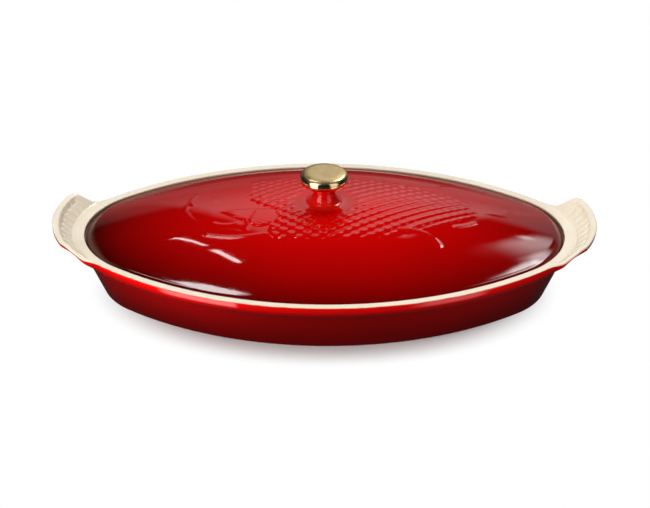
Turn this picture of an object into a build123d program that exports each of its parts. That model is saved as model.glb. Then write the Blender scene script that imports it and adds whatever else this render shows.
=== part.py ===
from build123d import *
import math
import os

os.makedirs("parts", exist_ok=True)

# A long stoneware dish for baking a whole fish, with a domed lid and a metal knob.
# The dish stands on z = 0 with its centre at the origin. Its length runs along X.
# All sizes are in millimetres.

# Plan outline: two tip arcs and two long side arcs that meet without a corner.
# The seat line is the inner edge of the rim, and every other outline is an offset of it.
SEAT_HALF_LENGTH = 193.2
SEAT_HALF_WIDTH = 117.4
TIP_RADIUS = 76.4

# Dish: a floor, a leaning wall, and a thicker collar band under a flat rim.
RIM_HEIGHT = 46.7
RIM_WIDTH = 6.6
RIM_OUTER_ROUND = 2.0
RIM_INNER_BEVEL = 1.2
BAND_HEIGHT = 10.3
BAND_OVERHANG = 3.1
BAND_FOOT_ROUND = 3.5
BAND_COVE = 1.6
WALL_LEAN = 23.6
FLOOR_THICKNESS = 7.5
FLOOR_ROUND = 13.0
FOOT_ROUND = 3.5
FOOT_RING_WIDTH = 6.0
FOOT_RECESS = 1.2

# Gallery: the step inside the rim that the lid stands on.
GALLERY_DEPTH = 5.5
GALLERY_WIDTH = 5.3

# Handles: a flared tab at each end with a raised lip round a fluted finger rest.
HANDLE_REACH = 25.4
HANDLE_END_RADIUS = 91.0
HANDLE_CORNER_RADIUS = 14.0
HANDLE_LEAST_CORNER = 2.0
HANDLE_HALF_WIDTH = 46.0
HANDLE_BLEND_RADIUS = 60.0
HANDLE_RISE = 11.5
HANDLE_SLOPE = 45.0
HANDLE_EDGE = 4.5
HANDLE_FOOT_ROUND = 1.0
LIP_CREST_INSET = 3.0
LIP_ROUND = 2.6
FLARE_ANGLE = 37.0
FLARE_BREAK = 0.45
CHEEK_ANGLE = 43.0
CHEEK_START = 9.2
REST_START = 2.5
REST_LIP = 6.2
REST_HALF_ANGLE = 25.0
REST_DROP = 2.8
REST_CORNER = 3.0
REST_WALL_SPREAD = 1.0
FLUTE_COUNT = 9
FLUTE_PITCH = 5.3
FLUTE_RADIUS = 4.2
FLUTE_DEPTH = 1.6
FLUTE_TILT = 6.0
FLUTE_RUN = 7.0

# Lid: a shell with a rolled edge, a foot that stands in the gallery and a locating rib.
LID_GAP = 1.2
LID_ROLL = 5.5
LID_ROLL_ANGLE = 28.0
LID_SEAT_CLEARANCE = 0.3
LID_EDGE_HEIGHT = 5.2
DOME_RISE = 29.3
DOME_THICKNESS = 6.0
DOME_SHARES = (1.0, 0.86, 0.7, 0.5, 0.3, 0.1)
VAULT_SPRING = 3.2
RIB_GAP = 2.6
RIB_WIDTH = 4.6
RIB_DROP = 3.6
RIB_ROUND = 1.6

# Boss: the stoneware neck on top of the dome that carries the knob.
BOSS_NECK_RADIUS = 8.5
BOSS_FLARE = 10.0
BOSS_SINK = 1.0
BOSS_HEIGHT = 15.5
BOSS_EDGE = 0.8
PAD_RADIUS = 12.0
PAD_DEPTH = 1.5

# Knob and its fixing, from the top down.
KNOB_RADIUS = 19.6
KNOB_TOP_RADIUS = 16.2
KNOB_FOOT_RADIUS = 14.0
KNOB_MOUTH_RADIUS = 8.0
KNOB_HEIGHT = 9.3
KNOB_WAIST = 4.7
KNOB_LOWER_BULGE = 1.3
KNOB_UPPER_BULGE = 1.1
KNOB_SHEET = 1.2
GASKET_RADIUS = 8.3
GASKET_THICKNESS = 1.0
INSERT_FLANGE = 2.0
INSERT_RADIUS = 6.0
SEAL_RADIUS = 10.0
SEAL_THICKNESS = 1.6
WASHER_RADIUS = 8.6
WASHER_THICKNESS = 1.2
SCREW_RADIUS = 3.0
SCREW_HEAD_RADIUS = 6.2
SCREW_HEAD_HEIGHT = 3.4
SCREW_HEAD_ROUND = 1.4
SCREW_SLOT_WIDTH = 1.4
SCREW_SLOT_DEPTH = 1.5
SCREW_GRIP = 5.6
THREAD_CLEARANCE = 0.1
SCREW_CLEARANCE = 0.6
SCREW_END_GAP = 1.0

LEAN = math.tan(math.radians(WALL_LEAN))
TIP_CENTRE = SEAT_HALF_LENGTH - TIP_RADIUS
BAND_FOOT = RIM_HEIGHT - BAND_HEIGHT
# The rim's rounded edge is widest at RIM_WIDTH, so the corner that it rounds lies further out.
RIM_CORNER = RIM_WIDTH + RIM_OUTER_ROUND * (1 / math.tan(math.radians(45 - WALL_LEAN / 2)) - 1)
BAND_FOOT_OFFSET = RIM_CORNER - BAND_HEIGHT * LEAN
WALL_TOP = BAND_FOOT - BAND_COVE
WALL_TOP_OFFSET = BAND_FOOT_OFFSET - BAND_OVERHANG
WALL_FOOT_OFFSET = WALL_TOP_OFFSET - WALL_TOP * LEAN
LEDGE_HEIGHT = RIM_HEIGHT - GALLERY_DEPTH
LID_FOOT = LEDGE_HEIGHT + LID_SEAT_CLEARANCE
DOME_BASE = LID_FOOT + LID_EDGE_HEIGHT
DOME_TOP = DOME_BASE + DOME_RISE
BOSS_TOP = DOME_TOP + BOSS_HEIGHT
PAD_HEIGHT = DOME_TOP - DOME_THICKNESS - PAD_DEPTH
KNOB_BASE = BOSS_TOP + GASKET_THICKNESS
KNOB_TOP = KNOB_BASE + KNOB_HEIGHT
SEAL_BASE = PAD_HEIGHT - SEAL_THICKNESS
WASHER_BASE = SEAL_BASE - WASHER_THICKNESS
SCREW_TIP = KNOB_BASE + SCREW_GRIP
STANDING = (Align.CENTER, Align.CENTER, Align.MIN)


def lens(half_length, half_width, tip_radius, height):
    """Flat face at a height, bounded by two tip arcs and two tangent side arcs."""
    run = half_length - tip_radius
    side_radius = (half_length**2 + half_width**2 - 2 * half_length * tip_radius) / (
        2 * (half_width - tip_radius)
    )
    turn = math.atan2(side_radius - half_width, run)
    x = run + tip_radius * math.cos(turn)
    y = tip_radius * math.sin(turn)
    outline = Wire([
        ThreePointArc((x, -y), (half_length, 0), (x, y)),
        ThreePointArc((x, y), (0, half_width), (-x, y)),
        ThreePointArc((-x, y), (-half_length, 0), (-x, -y)),
        ThreePointArc((-x, -y), (0, -half_width), (x, -y)),
    ])
    return Pos(0, 0, height) * Face(outline)


def outline_at(offset, height):
    """The plan outline moved outward by an offset from the seat line."""
    return lens(SEAT_HALF_LENGTH + offset, SEAT_HALF_WIDTH + offset, TIP_RADIUS + offset, height)


def slab(offset, bottom, top):
    """A straight-sided body of the plan outline between two heights."""
    return extrude(outline_at(offset, bottom), top - bottom)


def leaning_body(bottom_offset, bottom, top):
    """A body whose wall leans outward at the wall's angle as it rises."""
    rise = top - bottom
    return loft([outline_at(bottom_offset, bottom), outline_at(bottom_offset + rise * LEAN, top)],
                ruled=True)


def domed_body(base_offset, base, rise):
    """A low dome on the plan outline: height falls with the square of the distance out."""
    half_length = SEAT_HALF_LENGTH + base_offset
    half_width = SEAT_HALF_WIDTH + base_offset
    tip = TIP_RADIUS + base_offset
    sections = [
        lens(share * half_length, share * half_width, share * tip, base + rise * (1 - share**2))
        for share in DOME_SHARES
    ]
    return loft(sections)


def edges_at(body, height, reach=0.05):
    """The edges of a body that lie at one height."""
    return body.edges().filter_by_position(Axis.Z, height - reach, height + reach)


def dish_outside():
    """The dish as a filled block: foot, leaning wall, cove and collar band."""
    wall = leaning_body(WALL_FOOT_OFFSET, 0, WALL_TOP)
    wall = fillet(edges_at(wall, 0), FOOT_ROUND)
    cove = loft([outline_at(WALL_TOP_OFFSET, WALL_TOP), outline_at(BAND_FOOT_OFFSET, BAND_FOOT)],
                ruled=True)
    band = leaning_body(BAND_FOOT_OFFSET, BAND_FOOT, RIM_HEIGHT)
    band = fillet(edges_at(band, RIM_HEIGHT), RIM_OUTER_ROUND)
    return fillet(edges_at(wall + cove + band, BAND_FOOT), BAND_FOOT_ROUND)


def dish_inside():
    """The space inside the dish: the gallery and the cavity with its rounded floor."""
    gallery = slab(0, LEDGE_HEIGHT, RIM_HEIGHT)
    gallery_mouth = loft([outline_at(0, RIM_HEIGHT - RIM_INNER_BEVEL),
                          outline_at(RIM_INNER_BEVEL, RIM_HEIGHT)], ruled=True)
    depth = LEDGE_HEIGHT - FLOOR_THICKNESS
    cavity = leaning_body(-GALLERY_WIDTH - depth * LEAN, FLOOR_THICKNESS, LEDGE_HEIGHT)
    cavity = fillet(edges_at(cavity, FLOOR_THICKNESS), FLOOR_ROUND)
    return gallery + gallery_mouth + cavity


def along(start, end, distance):
    """The point at a distance from one point towards another."""
    share = distance / math.dist(start, end)
    return (start[0] + share * (end[0] - start[0]), start[1] + share * (end[1] - start[1]))


def blend_centre(first, first_radius, second, second_radius):
    """The outer of the two points that lie at given distances from two centres."""
    gap = math.dist(first, second)
    step = (gap**2 + first_radius**2 - second_radius**2) / (2 * gap)
    rise = math.sqrt(first_radius**2 - step**2)
    foot = along(first, second, step)
    across = ((second[0] - first[0]) / gap, (second[1] - first[1]) / gap)
    return (foot[0] - rise * across[1], foot[1] + rise * across[0])


def handle_outline(inset, height):
    """Plan of one handle, moved inward: end arc, corner arcs and hollow blends to the rim."""
    corner = max(HANDLE_CORNER_RADIUS - inset, HANDLE_LEAST_CORNER)
    blend = HANDLE_BLEND_RADIUS + inset
    end_radius = HANDLE_END_RADIUS - inset
    end_x = SEAT_HALF_LENGTH + HANDLE_REACH - inset
    end_centre = end_x - end_radius
    corner_y = HANDLE_HALF_WIDTH - inset - corner
    corner_x = end_centre + math.sqrt((end_radius - corner)**2 - corner_y**2)
    lean = math.atan2(corner_y, corner_x - end_centre)
    joint = (end_centre + end_radius * math.cos(lean), end_radius * math.sin(lean))
    rim = TIP_RADIUS + RIM_WIDTH - inset
    centre = blend_centre((TIP_CENTRE, 0), rim + blend, (corner_x, corner_y), corner + blend)
    crest = along((corner_x, corner_y), centre, corner)
    start = along((TIP_CENTRE, 0), centre, rim)
    between = ((crest[0] + start[0]) / 2, (crest[1] + start[1]) / 2)
    hollow = along(centre, between, blend)
    round_mid = (lean + math.atan2(centre[1] - corner_y, centre[0] - corner_x)) / 2
    mid = (corner_x + corner * math.cos(round_mid), corner_y + corner * math.sin(round_mid))

    def mirrored(point):
        return (point[0], -point[1])

    outline = Wire([
        ThreePointArc(mirrored(joint), (end_x, 0), joint),
        ThreePointArc(joint, mid, crest),
        ThreePointArc(crest, hollow, start),
        Line(start, (TIP_CENTRE, start[1])),
        Line((TIP_CENTRE, start[1]), (TIP_CENTRE, -start[1])),
        Line((TIP_CENTRE, -start[1]), mirrored(start)),
        ThreePointArc(mirrored(start), mirrored(hollow), mirrored(crest)),
        ThreePointArc(mirrored(crest), mirrored(mid), mirrored(joint)),
    ])
    return Pos(0, 0, height) * Face(outline)


def fanned(section, sweep):
    """A section in (radius, height), turned about the tip centre by an angle each way."""
    axis = Axis((TIP_CENTRE, 0, 0), (0, 0, 1))
    return revolve(Pos(TIP_CENTRE, 0, 0) * Plane.XZ * section, axis, 2 * sweep).rotate(axis, -sweep)


def handle_top_cutter():
    """Everything above the handle: flat over the rim, a slope between two arcs, then the lip."""
    rim = TIP_RADIUS + RIM_WIDTH
    crest = TIP_RADIUS + HANDLE_REACH - LIP_CREST_INSET
    top = RIM_HEIGHT + HANDLE_RISE
    run = crest - rim
    slope = math.radians(HANDLE_SLOPE)
    bend = (run * math.sin(slope) - HANDLE_RISE * math.cos(slope)) / (2 * (1 - math.cos(slope)))

    def low(turn):
        return (rim + bend * math.sin(turn), RIM_HEIGHT + bend * (1 - math.cos(turn)))

    def high(turn):
        return (crest - bend * math.sin(turn), top - bend * (1 - math.cos(turn)))

    sky = top + HANDLE_RISE
    section = Face(Wire([
        Line((0, RIM_HEIGHT), (rim, RIM_HEIGHT)),
        ThreePointArc((rim, RIM_HEIGHT), low(slope / 2), low(slope)),
        Line(low(slope), high(slope)),
        ThreePointArc(high(slope), high(slope / 2), (crest, top)),
        Line((crest, top), (crest, sky)),
        Line((crest, sky), (0, sky)),
        Line((0, sky), (0, RIM_HEIGHT)),
    ]))
    return fanned(section, 90)


def handle_blank():
    """One handle before its finger rest: a flared underside, side cheeks and a swept top."""
    top = RIM_HEIGHT + HANDLE_RISE
    edge_foot = top - HANDLE_EDGE
    flare = math.tan(math.radians(FLARE_ANGLE))
    depth = edge_foot - BAND_FOOT
    insets = (depth / flare, FLARE_BREAK * depth / flare, 0)
    underside = loft([handle_outline(inset, edge_foot - inset * flare) for inset in insets],
                     ruled=True)
    plate = extrude(handle_outline(0, edge_foot), HANDLE_EDGE)
    plate = fillet(edges_at(plate, top).filter_by(GeomType.CIRCLE), LIP_ROUND)
    cheek = loft([handle_outline(BAND_HEIGHT * LEAN, BAND_FOOT), handle_outline(0, RIM_HEIGHT)],
                 ruled=True)
    cheek += extrude(handle_outline(0, RIM_HEIGHT), edge_foot - RIM_HEIGHT)
    span = 4 * HANDLE_HALF_WIDTH
    below = Rot(0, -CHEEK_ANGLE, 0) * Box(span, span, span, align=(Align.CENTER, Align.CENTER,
                                                                   Align.MAX))
    cheek -= Pos(SEAT_HALF_LENGTH - CHEEK_START, 0, BAND_FOOT) * below
    blank = underside + plate + cheek - handle_top_cutter()
    return fillet(edges_at(blank, edge_foot).filter_by(GeomType.CIRCLE), HANDLE_FOOT_ROUND)


def finger_rest():
    """The hollow behind the lip of one handle, with a fan of scooped flutes in its floor."""
    inner = TIP_RADIUS + RIM_WIDTH + REST_START
    outer = TIP_RADIUS + HANDLE_REACH - REST_LIP
    floor_end = RIM_HEIGHT + HANDLE_RISE - REST_DROP
    sky = floor_end + 2 * HANDLE_RISE
    section = Face(Wire(Polyline((inner, RIM_HEIGHT), (outer, floor_end),
                                 (outer + REST_WALL_SPREAD, sky), (inner, sky),
                                 (inner, RIM_HEIGHT))))
    rest = fanned(section, REST_HALF_ANGLE)
    corners = rest.edges().filter_by(GeomType.LINE).filter_by(
        lambda edge: math.hypot(edge.center().X - TIP_CENTRE, edge.center().Y) > outer)
    return fillet(corners, REST_CORNER).fuse(*flutes(outer, floor_end))


def flutes(outer, floor_end):
    """Scoops with round ends that fan out from the tip centre and get deeper outward."""
    rise = math.atan2(floor_end - RIM_HEIGHT, HANDLE_REACH - REST_LIP - RIM_WIDTH - REST_START)
    slope = rise - math.radians(FLUTE_TILT)
    lift = FLUTE_RADIUS - FLUTE_DEPTH
    half_chord = math.sqrt(FLUTE_RADIUS**2 - lift**2)
    end = (outer - half_chord * math.cos(slope), floor_end - half_chord * math.sin(slope) + lift)
    groove = Pos(0, 0, -FLUTE_RUN / 2) * Cylinder(FLUTE_RADIUS, FLUTE_RUN)
    groove += Sphere(FLUTE_RADIUS) + Pos(0, 0, -FLUTE_RUN) * Sphere(FLUTE_RADIUS)
    groove = Pos(end[0], 0, end[1]) * Rot(0, 90 - math.degrees(slope), 0) * groove
    first = -FLUTE_PITCH * (FLUTE_COUNT - 1) / 2
    return [Pos(TIP_CENTRE, 0, 0) * Rot(0, 0, first + FLUTE_PITCH * count) * groove
            for count in range(FLUTE_COUNT)]


def foot_recess():
    """The shallow recess under the floor that leaves a flat ring to stand on."""
    return slab(WALL_FOOT_OFFSET - FOOT_ROUND - FOOT_RING_WIDTH, 0, FOOT_RECESS)


def baking_dish():
    """The open dish: block, two handles, hollow inside, finger rests and foot ring."""
    blank = handle_blank()
    rest = finger_rest()
    dish = dish_outside() + blank + blank.mirror(Plane.YZ)
    dish = dish - dish_inside() - foot_recess()
    return dish - rest - rest.mirror(Plane.YZ)


def lid():
    """The domed lid: rolled edge, dome, boss, vaulted underside, rib and screw bore."""
    angle = math.radians(LID_ROLL_ANGLE)
    base_offset = -LID_GAP - LID_ROLL * (1 - math.sin(angle))
    edge = slab(-LID_GAP, LID_FOOT, DOME_BASE + LID_ROLL * (1 - math.cos(angle)))
    edge = fillet(edges_at(edge, DOME_BASE + LID_ROLL * (1 - math.cos(angle))), LID_ROLL)
    edge = split(edge, Plane.XY.offset(DOME_BASE), keep=Keep.BOTTOM)
    rib_offset = -GALLERY_WIDTH - RIB_GAP
    rib = slab(rib_offset, LID_FOOT - RIB_DROP, LID_FOOT)
    rib = fillet(edges_at(rib, LID_FOOT - RIB_DROP), RIB_ROUND)
    vault_offset = rib_offset - RIB_WIDTH
    vault_base = DOME_BASE - VAULT_SPRING
    vault = slab(vault_offset, LID_FOOT - RIB_DROP, vault_base)
    vault += domed_body(vault_offset, vault_base, DOME_TOP - DOME_THICKNESS - vault_base)
    shell = edge + domed_body(base_offset, DOME_BASE, DOME_RISE) + rib - vault
    shell += boss()
    shell += Pos(0, 0, PAD_HEIGHT) * Cylinder(PAD_RADIUS, DOME_THICKNESS, align=STANDING)
    return shell - Pos(0, 0, PAD_HEIGHT) * Cylinder(
        SCREW_RADIUS + SCREW_CLEARANCE, BOSS_TOP - PAD_HEIGHT, align=STANDING)


def turned(wire_edges):
    """A body of revolution about the knob's axis from a closed outline in (radius, height)."""
    return revolve(Plane.XZ * Face(Wire(wire_edges)), Axis.Z)


def boss():
    """The neck on the dome, with a hollow flare at its root."""
    root = DOME_TOP - BOSS_SINK
    buried = DOME_TOP - DOME_THICKNESS / 2
    flare_radius = BOSS_NECK_RADIUS + BOSS_FLARE
    slack = BOSS_FLARE * (1 - math.sqrt(0.5))
    return turned([
        Line((0, buried), (flare_radius, buried)),
        Line((flare_radius, buried), (flare_radius, root)),
        ThreePointArc((flare_radius, root), (BOSS_NECK_RADIUS + slack, root + slack),
                      (BOSS_NECK_RADIUS, root + BOSS_FLARE)),
        Line((BOSS_NECK_RADIUS, root + BOSS_FLARE), (BOSS_NECK_RADIUS, BOSS_TOP - BOSS_EDGE)),
        Line((BOSS_NECK_RADIUS, BOSS_TOP - BOSS_EDGE), (BOSS_NECK_RADIUS - BOSS_EDGE, BOSS_TOP)),
        Line((BOSS_NECK_RADIUS - BOSS_EDGE, BOSS_TOP), (0, BOSS_TOP)),
        Line((0, BOSS_TOP), (0, buried)),
    ])


def knob_outside():
    """The knob as a solid button: flat foot, round side and flat top."""
    waist = KNOB_BASE + KNOB_WAIST
    return turned([
        Line((0, KNOB_BASE), (KNOB_FOOT_RADIUS, KNOB_BASE)),
        SagittaArc((KNOB_FOOT_RADIUS, KNOB_BASE), (KNOB_RADIUS, waist), -KNOB_LOWER_BULGE),
        SagittaArc((KNOB_RADIUS, waist), (KNOB_TOP_RADIUS, KNOB_TOP), -KNOB_UPPER_BULGE),
        Line((KNOB_TOP_RADIUS, KNOB_TOP), (0, KNOB_TOP)),
        Line((0, KNOB_TOP), (0, KNOB_BASE)),
    ])


def knob_hollow():
    """The space inside the knob, one sheet in from its outside, with plain sloping sides."""
    base = KNOB_BASE + KNOB_SHEET
    top = KNOB_TOP - KNOB_SHEET
    foot = KNOB_FOOT_RADIUS - KNOB_SHEET / 2
    side = KNOB_RADIUS - KNOB_SHEET
    crown = KNOB_TOP_RADIUS - KNOB_SHEET / 2
    return turned(Polyline((0, base), (foot, base), (side, KNOB_BASE + KNOB_WAIST), (crown, top),
                           (0, top), (0, base)))


def knob_shell():
    """The hollow metal cap with a round mouth underneath."""
    mouth = Pos(0, 0, KNOB_BASE) * Cylinder(KNOB_MOUTH_RADIUS, KNOB_SHEET, align=STANDING)
    return knob_outside() - knob_hollow() - mouth


def knob_insert():
    """The threaded bush inside the cap: a flange in the mouth and a core up to the top."""
    flange = Cylinder(KNOB_MOUTH_RADIUS - THREAD_CLEARANCE, INSERT_FLANGE, align=STANDING)
    core = Cylinder(INSERT_RADIUS, KNOB_HEIGHT - KNOB_SHEET, align=STANDING)
    bore = Cylinder(SCREW_RADIUS + THREAD_CLEARANCE, SCREW_GRIP + SCREW_END_GAP, align=STANDING)
    return Pos(0, 0, KNOB_BASE) * (flange + core - bore)


def ring(radius, thickness, base):
    """A flat ring that the knob screw passes through."""
    body = Cylinder(radius, thickness, align=STANDING)
    bore = Cylinder(SCREW_RADIUS + SCREW_CLEARANCE, thickness, align=STANDING)
    return Pos(0, 0, base) * (body - bore)


def knob_screw():
    """A slotted round-head screw that comes up through the lid into the knob."""
    head = Pos(0, 0, -SCREW_HEAD_HEIGHT) * Cylinder(
        SCREW_HEAD_RADIUS, SCREW_HEAD_HEIGHT, align=STANDING)
    head = fillet(edges_at(head, -SCREW_HEAD_HEIGHT), SCREW_HEAD_ROUND)
    slot = Pos(0, 0, -SCREW_HEAD_HEIGHT) * Box(
        2 * SCREW_HEAD_RADIUS, SCREW_SLOT_WIDTH, SCREW_SLOT_DEPTH, align=STANDING)
    shank = Cylinder(SCREW_RADIUS, SCREW_TIP - WASHER_BASE, align=STANDING)
    return Pos(0, 0, WASHER_BASE) * (head - slot + shank)


pieces = {
    "baking_dish": baking_dish(),
    "lid": lid(),
    "knob_shell": knob_shell(),
    "knob_insert": knob_insert(),
    "knob_gasket": ring(GASKET_RADIUS, GASKET_THICKNESS, BOSS_TOP),
    "lid_seal_washer": ring(SEAL_RADIUS, SEAL_THICKNESS, SEAL_BASE),
    "steel_washer": ring(WASHER_RADIUS, WASHER_THICKNESS, WASHER_BASE),
    "knob_screw": knob_screw(),
}
for name, piece in pieces.items():
    export_step(piece, f"parts/{name}.step")
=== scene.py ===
# %% [markdown]
# # A lidded stoneware dish for baking a whole fish
#
# The real dish is two pieces of stoneware: a long lens-shaped dish with a fluted handle at
# each end, and a domed lid with a fish in low relief. Each is pressed or cast in a mould,
# dried, glazed and fired. A small metal knob is screwed to a neck on the lid.
#
# Each stoneware piece is made here as one closed grid of points. A grid row runs all round
# the piece and a column across its section, so one formula for the section makes the whole
# form. Everything is written in millimetres and turned into metres at the end.

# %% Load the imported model
import bpy
import math
import numpy as np
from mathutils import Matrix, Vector


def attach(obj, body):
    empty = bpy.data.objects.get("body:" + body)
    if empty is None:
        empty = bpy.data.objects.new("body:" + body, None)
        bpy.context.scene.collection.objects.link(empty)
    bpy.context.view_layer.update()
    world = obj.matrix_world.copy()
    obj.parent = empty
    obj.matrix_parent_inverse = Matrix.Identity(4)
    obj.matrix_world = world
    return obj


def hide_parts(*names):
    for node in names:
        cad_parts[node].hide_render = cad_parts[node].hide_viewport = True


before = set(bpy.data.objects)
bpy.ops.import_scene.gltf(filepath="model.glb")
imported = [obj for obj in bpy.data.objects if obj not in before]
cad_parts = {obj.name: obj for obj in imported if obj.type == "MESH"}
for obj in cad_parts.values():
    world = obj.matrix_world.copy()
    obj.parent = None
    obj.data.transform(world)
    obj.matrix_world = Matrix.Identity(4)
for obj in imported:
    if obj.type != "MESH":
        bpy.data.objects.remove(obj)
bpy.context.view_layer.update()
print("packed nodes:", ", ".join(sorted(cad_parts)))

# %% [markdown]
# ## The plan outline
#
# Seen from above, dish and lid share one outline: two tip arcs and two long side arcs that
# meet without a corner. Every rim, wall and step is that outline moved in or out. A point is
# named by the direction of the outline's normal, which stays as it moves, so a grid column is
# a straight line in plan.

# %% The plan outline and its offsets
SEAT_HALF_LENGTH = 193.2
SEAT_HALF_WIDTH = 117.4
TIP_RADIUS = 76.4
TIP_CENTRE = SEAT_HALF_LENGTH - TIP_RADIUS
SIDE_RADIUS = (SEAT_HALF_LENGTH**2 + SEAT_HALF_WIDTH**2 - 2 * SEAT_HALF_LENGTH * TIP_RADIUS) / (
    2 * (SEAT_HALF_WIDTH - TIP_RADIUS))
SIDE_CENTRE = SIDE_RADIUS - SEAT_HALF_WIDTH
JOINT_SINE = math.sin(math.atan2(SIDE_CENTRE, TIP_CENTRE))


def plan(turn, offset):
    """Plan points of the outline moved outward by an offset.

    turn is the direction of the normal. A tip arc is its centre plus the radius along the
    normal, and so is a side arc, whose centre lies across the long axis."""
    c, s = np.cos(turn), np.sin(turn)
    at_tip = np.abs(s) < JOINT_SINE
    radius = np.where(at_tip, TIP_RADIUS, SIDE_RADIUS) + offset
    x = np.where(at_tip, np.sign(c) * TIP_CENTRE, 0.0) + radius * c
    y = np.where(at_tip, 0.0, -np.sign(s) * SIDE_CENTRE) + radius * s
    return x, y


def smooth_step(low, high, value):
    """0 below low, 1 above high, and a smooth S between them (3 t^2 - 2 t^3)."""
    t = np.clip((value - low) / (high - low), 0.0, 1.0)
    return t * t * (3 - 2 * t)


def soft_min(a, b, width):
    """The smaller of two values, with the crease between them rounded over a width."""
    t = np.clip(0.5 + 0.5 * (b - a) / width, 0.0, 1.0)
    return b + (a - b) * t - width * t * (1 - t)


def soft_max(a, b, width):
    """The larger of two values, with the crease between them rounded over a width."""
    return -soft_min(-a, -b, width)


def parabola(start, pull, end, t):
    """A curve that leaves start towards pull: (1-t)^2 start + 2t(1-t) pull + t^2 end."""
    return (1 - t) ** 2 * start + 2 * t * (1 - t) * pull + t * t * end


def rounded_path(corners, steps):
    """Points along straight lines whose corners are rounded, for all columns at once.

    A corner is (offset, height, cut). Its rounding is a parabola that starts and ends at the
    distance cut from it. steps gives for each corner the steps on the line before it and
    round it."""
    like = corners[0][0]
    points = [np.array(np.broadcast_arrays(o, z, like)[:2]) for o, z, _ in corners]
    rows, leave = [points[0]], points[0]
    for i in range(1, len(points) - 1):
        before, here, after = points[i - 1], points[i], points[i + 1]
        back, ahead = np.hypot(*(before - here)), np.hypot(*(after - here))
        cut = np.minimum(corners[i][2], 0.45 * np.minimum(back, ahead))
        entry = here + (before - here) * cut / back
        line_steps, round_steps = steps[i - 1]
        rows += [leave + (entry - leave) * t for t in np.linspace(0, 1, line_steps + 1)[1:]]
        leave = here + (after - here) * cut / ahead
        rows += [parabola(entry, here, leave, t) for t in np.linspace(0, 1, round_steps + 1)[1:]]
    rows += [leave + (points[-1] - leave) * t for t in np.linspace(0, 1, steps[-1][0] + 1)[1:]]
    rows = np.array(rows)
    return rows[:, 0, :], rows[:, 1, :]


def new_object(name, data):
    """A Blender object for a mesh, a lamp or a camera, linked to the scene."""
    made = bpy.data.objects.new(name, data)
    bpy.context.scene.collection.objects.link(made)
    return made


def closed_grid(name, x, y, z, caps):
    """One mesh from a grid of points that closes on itself round the piece.

    Columns run round. With caps, a point closes the first row, and another the last. Without,
    the last row joins the first, as on a ring."""
    levels, around = x.shape
    points = np.stack([x, y, z], axis=-1).reshape(-1, 3)
    row = np.arange(levels - 1 if caps else levels)[:, None]
    here = np.arange(around)
    right = (here + 1) % around
    low, high = row * around, (row + 1) % levels * around
    quads = np.stack([low + here, low + right, high + right, high + here], axis=-1)
    quads = quads.reshape(-1, 4).tolist()
    if caps:
        first, last = np.full(around, len(points)), np.full(around, len(points) + 1)
        points = np.vstack([points, [[0.0, 0.0, z[0].mean()], [0.0, 0.0, z[-1].mean()]]])
        top = (levels - 1) * around
        quads += np.stack([first, right, here], axis=-1).tolist()
        quads += np.stack([last, here + top, right + top], axis=-1).tolist()
    mesh = bpy.data.meshes.new(name)
    mesh.from_pydata((points * 0.001).tolist(), [], quads)
    mesh.polygons.foreach_set("use_smooth", np.ones(len(mesh.polygons), dtype=bool))
    mesh.update()
    return new_object(name, mesh)


def paint(piece, name, values):
    """Stores one number for each point, for the piece's material to read."""
    flat = np.zeros(len(piece.data.vertices), dtype=np.float32)
    flat[: values.size] = values.reshape(-1)
    if len(flat) == values.size + 2:
        flat[-2:] = values[0, 0], values[-1, 0]
    attribute = piece.data.attributes.new(name, "FLOAT", "POINT")
    attribute.data.foreach_set("value", flat)


print(f"side arc radius {SIDE_RADIUS:.1f} mm, its centre {SIDE_CENTRE:.1f} mm across")

# %% [markdown]
# ## The dish
#
# The section runs from the middle of the underside out over the foot ring, up the leaning
# wall, round the collar band, across the flat rim, down the gallery where the lid stands, and
# down the cavity to the middle of the floor. At both ends the band swells into a handle: the
# section reaches further out and its underside flares.
#
# The whole dish comes out of one mould, and one section formula serves all columns: only its
# reach and heights change along the rim. The columns stand close together at the handles,
# where the flutes need them.

# %% Outline of the handles in plan
RIM_HEIGHT = 46.7
RIM_WIDTH = 6.6
RIM_RADIUS = TIP_RADIUS + RIM_WIDTH
HANDLE_REACH, HANDLE_HALF_WIDTH = 25.4, 46.0
END_RADIUS, CORNER_RADIUS, BLEND_RADIUS = 91.0, 14.0, 60.0
HANDLE_SPREAD, HANDLE_COLUMNS, SIDE_COLUMNS = 49, 223, 40

# Circle centres as (along, across) from the tip centre.
END_CENTRE = (TIP_RADIUS + HANDLE_REACH - END_RADIUS, 0.0)
CORNER_ACROSS = HANDLE_HALF_WIDTH - CORNER_RADIUS
CORNER_CENTRE = (END_CENTRE[0] + math.sqrt((END_RADIUS - CORNER_RADIUS)**2 - CORNER_ACROSS**2),
                 CORNER_ACROSS)


def touching_centre(first_reach, second, second_reach):
    """The point at one distance from the tip centre and another from a second point."""
    gap = math.hypot(*second)
    step = (gap**2 + first_reach**2 - second_reach**2) / (2 * gap)
    rise = math.sqrt(first_reach**2 - step**2)
    return ((step * second[0] - rise * second[1]) / gap,
            (step * second[1] + rise * second[0]) / gap)


def joint_angle(centre, other, reach):
    """Angle seen from the tip centre of the point where two arcs meet."""
    share = reach / math.dist(centre, other)
    return math.atan2(centre[1] + share * (other[1] - centre[1]),
                      centre[0] + share * (other[0] - centre[0]))


BLEND_CENTRE = touching_centre(RIM_RADIUS + BLEND_RADIUS, CORNER_CENTRE,
                               CORNER_RADIUS + BLEND_RADIUS)
END_TO_CORNER = joint_angle(END_CENTRE, CORNER_CENTRE, END_RADIUS)
CORNER_TO_BLEND = joint_angle(CORNER_CENTRE, BLEND_CENTRE, CORNER_RADIUS)
BLEND_TO_RIM = math.atan2(BLEND_CENTRE[1], BLEND_CENTRE[0])


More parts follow.
